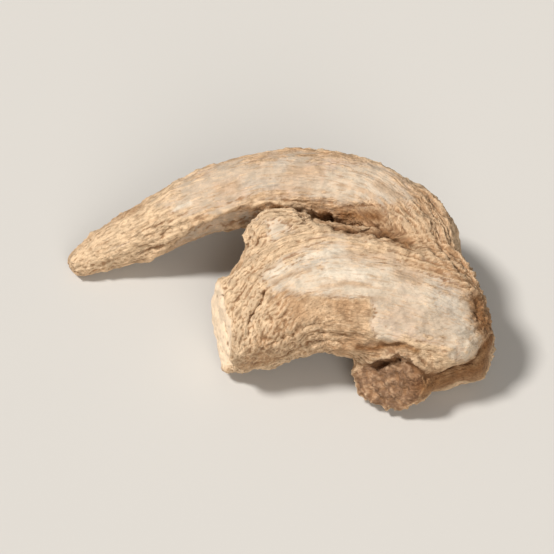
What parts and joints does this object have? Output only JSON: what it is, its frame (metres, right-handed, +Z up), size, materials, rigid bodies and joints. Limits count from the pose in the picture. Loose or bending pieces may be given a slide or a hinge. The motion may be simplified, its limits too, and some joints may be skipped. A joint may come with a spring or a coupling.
{
  "type": "dried ginger root",
  "caption": "Dried ginger rhizome hand: a long curved finger and a broad body joined at the shoulder, with knobs and snapped ends, lying on a flat surface.",
  "frame": {"origin": "on the surface that the root lies on, at the middle of its footprint", "axes": "+Z up; +X from the tip of the long finger to the shoulder; the broad body lies on the -Y side and the long finger on the +Y side"},
  "size_m": [0.0772, 0.0504, 0.0209],
  "materials": {
    "dried_skin": "matte"
  },
  "bodies": {
    "root": {"ginger_root": "dried_skin"}
  },
  "joints": []
}
